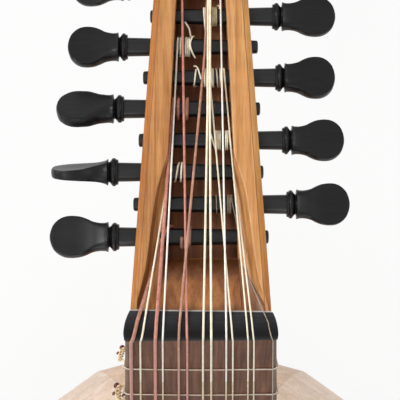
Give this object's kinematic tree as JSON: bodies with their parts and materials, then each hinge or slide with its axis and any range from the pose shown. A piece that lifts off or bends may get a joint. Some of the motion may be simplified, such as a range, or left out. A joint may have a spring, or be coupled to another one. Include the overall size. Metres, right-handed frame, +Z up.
{
  "type": "renaissance lute",
  "caption": "Plucked string instrument with a ribbed pear-shaped bowl, a flat soundboard with a pierced rose, tied frets, a bent-back open pegbox and wooden tuning pegs.",
  "frame": {"origin": "centre of the bounding box's underside; the lute lies on its bowl and on the end of its pegbox", "axes": "+Y from the pegbox to the tail, +Z up out of the soundboard, +X towards the bass strings"},
  "size_m": [0.32, 0.78, 0.2223],
  "materials": {
    "soundboard": "fine straight-grained spruce under thin varnish",
    "ribs": "pale planed wood under soft varnish",
    "inner_wood": "raw planed spruce",
    "neck": "warm brown varnished wood",
    "pegbox": "warm brown varnished wood, satin",
    "pegbox_inside": "darker brown varnished wood",
    "pegbox_back": "dark brown wood",
    "fingerboard": "dark brown wood, satin",
    "bridge": "dark brown wood, satin",
    "ebony": "black wood, polished",
    "gut_frets": "twisted gut",
    "gut_copper": "copper-brown loaded gut",
    "gut_red": "red-brown gut",
    "gut_pale": "pale gut, slightly translucent"
  },
  "bodies": {
    "lute": {"soundboard": "soundboard", "rib_1": "ribs", "rib_2": "ribs", "rib_3": "ribs", "rib_4": "ribs", "rib_5": "ribs", "rib_6": "ribs", "rib_7": "ribs", "rib_8": "ribs", "rib_9": "ribs", "bridge": "bridge", "end_clasp": "ribs", "neck_block": "inner_wood", "soundboard_bar_1": "inner_wood", "soundboard_bar_2": "inner_wood", "soundboard_bar_3": "inner_wood", "soundboard_bar_4": "inner_wood", "soundboard_bar_5": "inner_wood", "neck": "neck", "fingerboard": "fingerboard", "nut": "ebony", "pegbox_cheek_bass": "pegbox", "pegbox_cheek_treble": "pegbox", "pegbox_back": "pegbox_back", "pegbox_end": "pegbox", "pegbox_root_block": "pegbox_inside", "string_7_bass": "gut_copper", "string_7_octave": "gut_pale", "string_6_bass": "gut_red", "string_6_octave": "gut_pale", "string_5_lower": "gut_copper", "string_5_upper": "gut_red", "string_4_lower": "gut_pale", "string_4_upper": "gut_pale", "string_3_lower": "gut_pale", "string_3_upper": "gut_pale", "string_2_lower": "gut_pale", "string_2_upper": "gut_pale", "string_1": "gut_pale"},
    "peg_1": {"peg_1": "ebony"},
    "peg_2": {"peg_2": "ebony"},
    "peg_3": {"peg_3": "ebony"},
    "peg_4": {"peg_4": "ebony"},
    "peg_5": {"peg_5": "ebony"},
    "peg_6": {"peg_6": "ebony"},
    "peg_7": {"peg_7": "ebony"},
    "peg_8": {"peg_8": "ebony"},
    "peg_9": {"peg_9": "ebony"},
    "peg_10": {"peg_10": "ebony"},
    "peg_11": {"peg_11": "ebony"},
    "peg_12": {"peg_12": "ebony"},
    "peg_13": {"peg_13": "ebony"},
    "fret_1": {"fret_1": "gut_frets"},
    "fret_2": {"fret_2": "gut_frets"},
    "fret_3": {"fret_3": "gut_frets"},
    "fret_4": {"fret_4": "gut_frets"},
    "fret_5": {"fret_5": "gut_frets"},
    "fret_6": {"fret_6": "gut_frets"},
    "fret_7": {"fret_7": "gut_frets"},
    "fret_8": {"fret_8": "gut_frets"}
  },
  "joints": [
    {"name": "peg_1_turn", "type": "hinge", "parent": "lute", "child": "peg_1", "pos_m": [0, -0.3099, 0.17489], "axis": [1, 0, 0], "range_deg": [-450, 90]},
    {"name": "peg_2_turn", "type": "hinge", "parent": "lute", "child": "peg_2", "pos_m": [0, -0.31538, 0.16175], "axis": [-1, 0, 0], "range_deg": [-450, 90]},
    {"name": "peg_3_turn", "type": "hinge", "parent": "lute", "child": "peg_3", "pos_m": [0, -0.32085, 0.14861], "axis": [1, 0, 0], "range_deg": [-450, 90]},
    {"name": "peg_4_turn", "type": "hinge", "parent": "lute", "child": "peg_4", "pos_m": [0, -0.32632, 0.13548], "axis": [-1, 0, 0], "range_deg": [-450, 90]},
    {"name": "peg_5_turn", "type": "hinge", "parent": "lute", "child": "peg_5", "pos_m": [0, -0.3318, 0.12234], "axis": [1, 0, 0], "range_deg": [-450, 90]},
    {"name": "peg_6_turn", "type": "hinge", "parent": "lute", "child": "peg_6", "pos_m": [0, -0.33727, 0.10921], "axis": [-1, 0, 0], "range_deg": [-450, 90]},
    {"name": "peg_7_turn", "type": "hinge", "parent": "lute", "child": "peg_7", "pos_m": [0, -0.34274, 0.09607], "axis": [1, 0, 0], "range_deg": [-450, 90]},
    {"name": "peg_8_turn", "type": "hinge", "parent": "lute", "child": "peg_8", "pos_m": [0, -0.34821, 0.08294], "axis": [-1, 0, 0], "range_deg": [-450, 90]},
    {"name": "peg_9_turn", "type": "hinge", "parent": "lute", "child": "peg_9", "pos_m": [0, -0.35369, 0.0698], "axis": [1, 0, 0], "range_deg": [-450, 90]},
    {"name": "peg_10_turn", "type": "hinge", "parent": "lute", "child": "peg_10", "pos_m": [0, -0.35916, 0.05667], "axis": [-1, 0, 0], "range_deg": [-450, 90]},
    {"name": "peg_11_turn", "type": "hinge", "parent": "lute", "child": "peg_11", "pos_m": [0, -0.36463, 0.04353], "axis": [1, 0, 0], "range_deg": [-450, 90]},
    {"name": "peg_12_turn", "type": "hinge", "parent": "lute", "child": "peg_12", "pos_m": [0, -0.37011, 0.03039], "axis": [-1, 0, 0], "range_deg": [-450, 90]},
    {"name": "peg_13_turn", "type": "hinge", "parent": "lute", "child": "peg_13", "pos_m": [0, -0.37558, 0.01726], "axis": [1, 0, 0], "range_deg": [-450, 90]},
    {"name": "fret_1_slide", "type": "slide", "parent": "lute", "child": "fret_1", "axis": [0, 0.9912, -0.1326], "range_m": [-0.003, 0.003]},
    {"name": "fret_2_slide", "type": "slide", "parent": "lute", "child": "fret_2", "axis": [0, 0.9912, -0.1326], "range_m": [-0.003, 0.003]},
    {"name": "fret_3_slide", "type": "slide", "parent": "lute", "child": "fret_3", "axis": [0, 0.9912, -0.1326], "range_m": [-0.003, 0.003]},
    {"name": "fret_4_slide", "type": "slide", "parent": "lute", "child": "fret_4", "axis": [0, 0.9912, -0.1326], "range_m": [-0.003, 0.003]},
    {"name": "fret_5_slide", "type": "slide", "parent": "lute", "child": "fret_5", "axis": [0, 0.9912, -0.1326], "range_m": [-0.003, 0.003]},
    {"name": "fret_6_slide", "type": "slide", "parent": "lute", "child": "fret_6", "axis": [0, 0.9912, -0.1326], "range_m": [-0.003, 0.003]},
    {"name": "fret_7_slide", "type": "slide", "parent": "lute", "child": "fret_7", "axis": [0, 0.9912, -0.1326], "range_m": [-0.003, 0.003]},
    {"name": "fret_8_slide", "type": "slide", "parent": "lute", "child": "fret_8", "axis": [0, 0.9912, -0.1326], "range_m": [-0.003, 0.003]}
  ]
}
